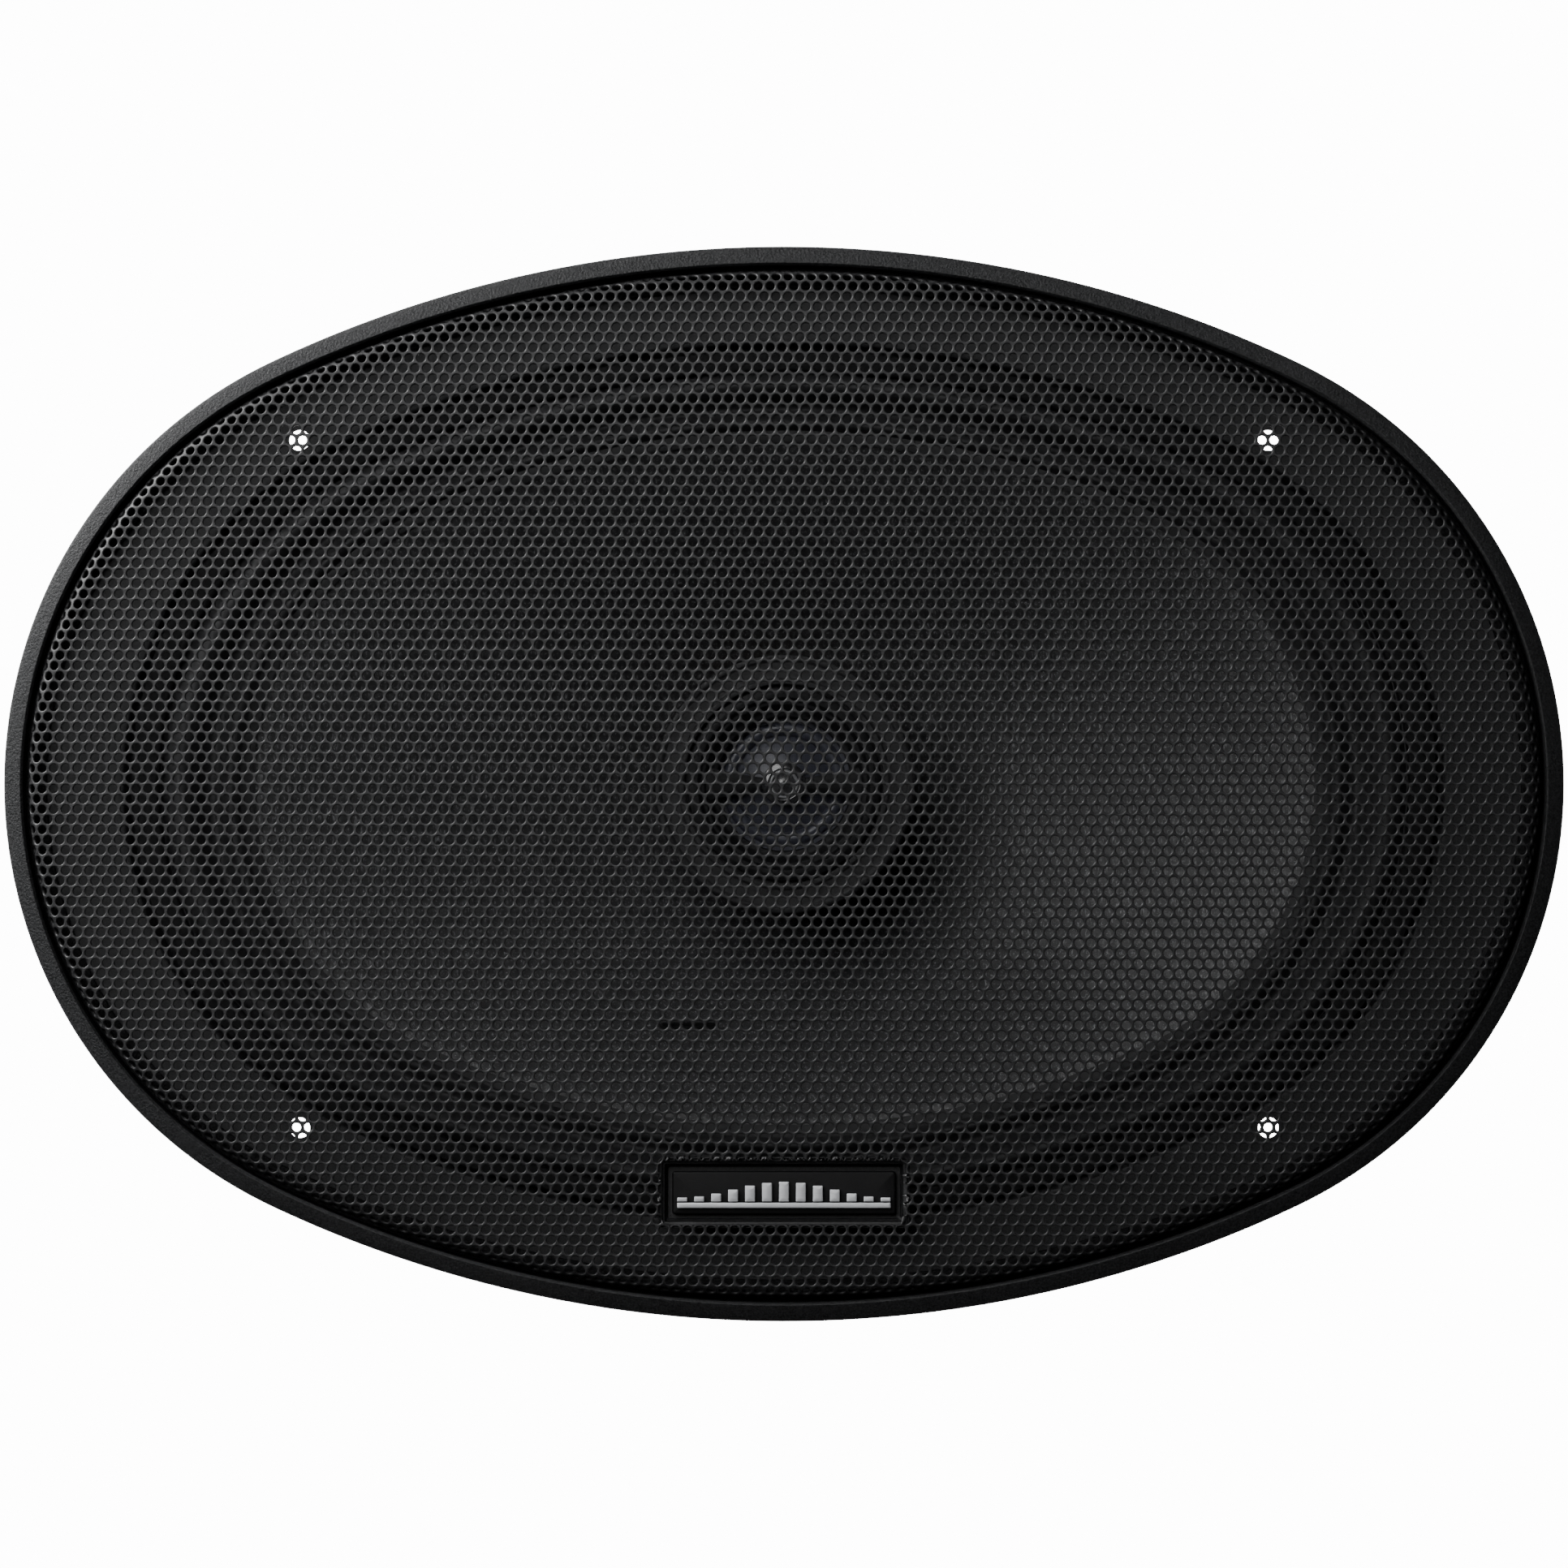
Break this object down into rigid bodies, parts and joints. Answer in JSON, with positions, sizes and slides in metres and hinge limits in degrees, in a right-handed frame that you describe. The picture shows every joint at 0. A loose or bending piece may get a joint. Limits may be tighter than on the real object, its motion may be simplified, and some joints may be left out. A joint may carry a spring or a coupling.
{
  "type": "coaxial car speaker",
  "caption": "Oval coaxial car speaker: clip-on domed mesh grille, pressed basket, long-throw cone and surround, and a small swivelling dome tweeter on a centre post.",
  "frame": {"origin": "middle of the magnet boot's back, on the surface the speaker lies on", "axes": "+Z the way the speaker fires, out through the grille; X along the long axis of the oval; -Y the side with the badge and the terminals"},
  "size_m": [0.2374, 0.1636, 0.0956],
  "materials": {
    "satin_black_plastic": "satin moulded black with a fine grain",
    "black_painted_steel": "matte black powder coat",
    "silver_badge": "satin silver",
    "black_rubber": "matte rubber",
    "woven_cone": "coated woven fibre, satin",
    "zinc_steel": "zinc-plated, satin",
    "ferrite": "ground ferrite",
    "copper_wire": "enamelled copper winding",
    "coil_former": "amber polyimide film",
    "spider_cloth": "resin-dipped cloth",
    "terminal_brass": "bright plated brass",
    "silk_dome": "coated silk",
    "capacitor_sleeve": "shrink sleeve",
    "lead_jacket": "flexible jacket",
    "tinsel_braid": "braided tinsel"
  },
  "bodies": {
    "speaker_frame": {"basket": "black_painted_steel", "grille_base_ring": "satin_black_plastic", "surround_gasket": "black_rubber", "surround": "black_rubber", "spider": "spider_cloth", "magnet_boot": "black_rubber", "yoke_and_pole": "zinc_steel", "ferrite_magnet": "ferrite", "top_plate": "zinc_steel", "basket_rivet_1": "zinc_steel", "basket_rivet_2": "zinc_steel", "basket_rivet_3": "zinc_steel", "basket_rivet_4": "zinc_steel", "tweeter_post": "satin_black_plastic", "tweeter_post_nut": "zinc_steel", "tweeter_cup": "satin_black_plastic", "tweeter_front_ring": "satin_black_plastic", "terminal_block": "satin_black_plastic", "terminal_plus": "terminal_brass", "terminal_minus": "terminal_brass", "crossover_capacitor": "capacitor_sleeve", "tinsel_lead_plus": "tinsel_braid", "tinsel_lead_minus": "tinsel_braid", "tweeter_lead": "lead_jacket"},
    "grille_cover": {"grille_bezel": "satin_black_plastic", "grille_mesh": "black_painted_steel", "badge_plate": "satin_black_plastic", "badge_bars": "silver_badge"},
    "woofer_cone": {"cone": "woven_cone", "voice_coil_former": "coil_former", "voice_coil": "copper_wire"},
    "tweeter_gimbal": {"tweeter_friction_ring": "satin_black_plastic"},
    "tweeter_ball": {"tweeter_shell": "satin_black_plastic", "tweeter_yoke": "zinc_steel", "tweeter_magnet": "zinc_steel", "tweeter_pole_plate": "zinc_steel", "tweeter_faceplate": "satin_black_plastic"},
    "tweeter_diaphragm": {"tweeter_dome": "silk_dome", "tweeter_coil": "copper_wire"}
  },
  "joints": [
    {"name": "cone_excursion", "type": "slide", "parent": "speaker_frame", "child": "woofer_cone", "axis": [0, 0, 1], "range_m": [-0.005, 0.005], "stiffness_N_per_m": 1500, "deforming": ["surround", "spider", "tinsel_lead_plus", "tinsel_lead_minus"]},
    {"name": "grille_lift", "type": "slide", "parent": "speaker_frame", "child": "grille_cover", "axis": [0, 0, 1], "range_m": [0, 0.03]},
    {"name": "tweeter_tilt_x", "type": "hinge", "parent": "speaker_frame", "child": "tweeter_gimbal", "pos_m": [0, 0, 0.073], "axis": [1, 0, 0], "range_deg": [-12, 12]},
    {"name": "tweeter_tilt_y", "type": "hinge", "parent": "tweeter_gimbal", "child": "tweeter_ball", "pos_m": [0, 0, 0.073], "axis": [0, 1, 0], "range_deg": [-12, 12]},
    {"name": "tweeter_dome_travel", "type": "slide", "parent": "tweeter_ball", "child": "tweeter_diaphragm", "axis": [0, 0, 1], "range_m": [-0.0003, 0.0003], "stiffness_N_per_m": 800}
  ]
}
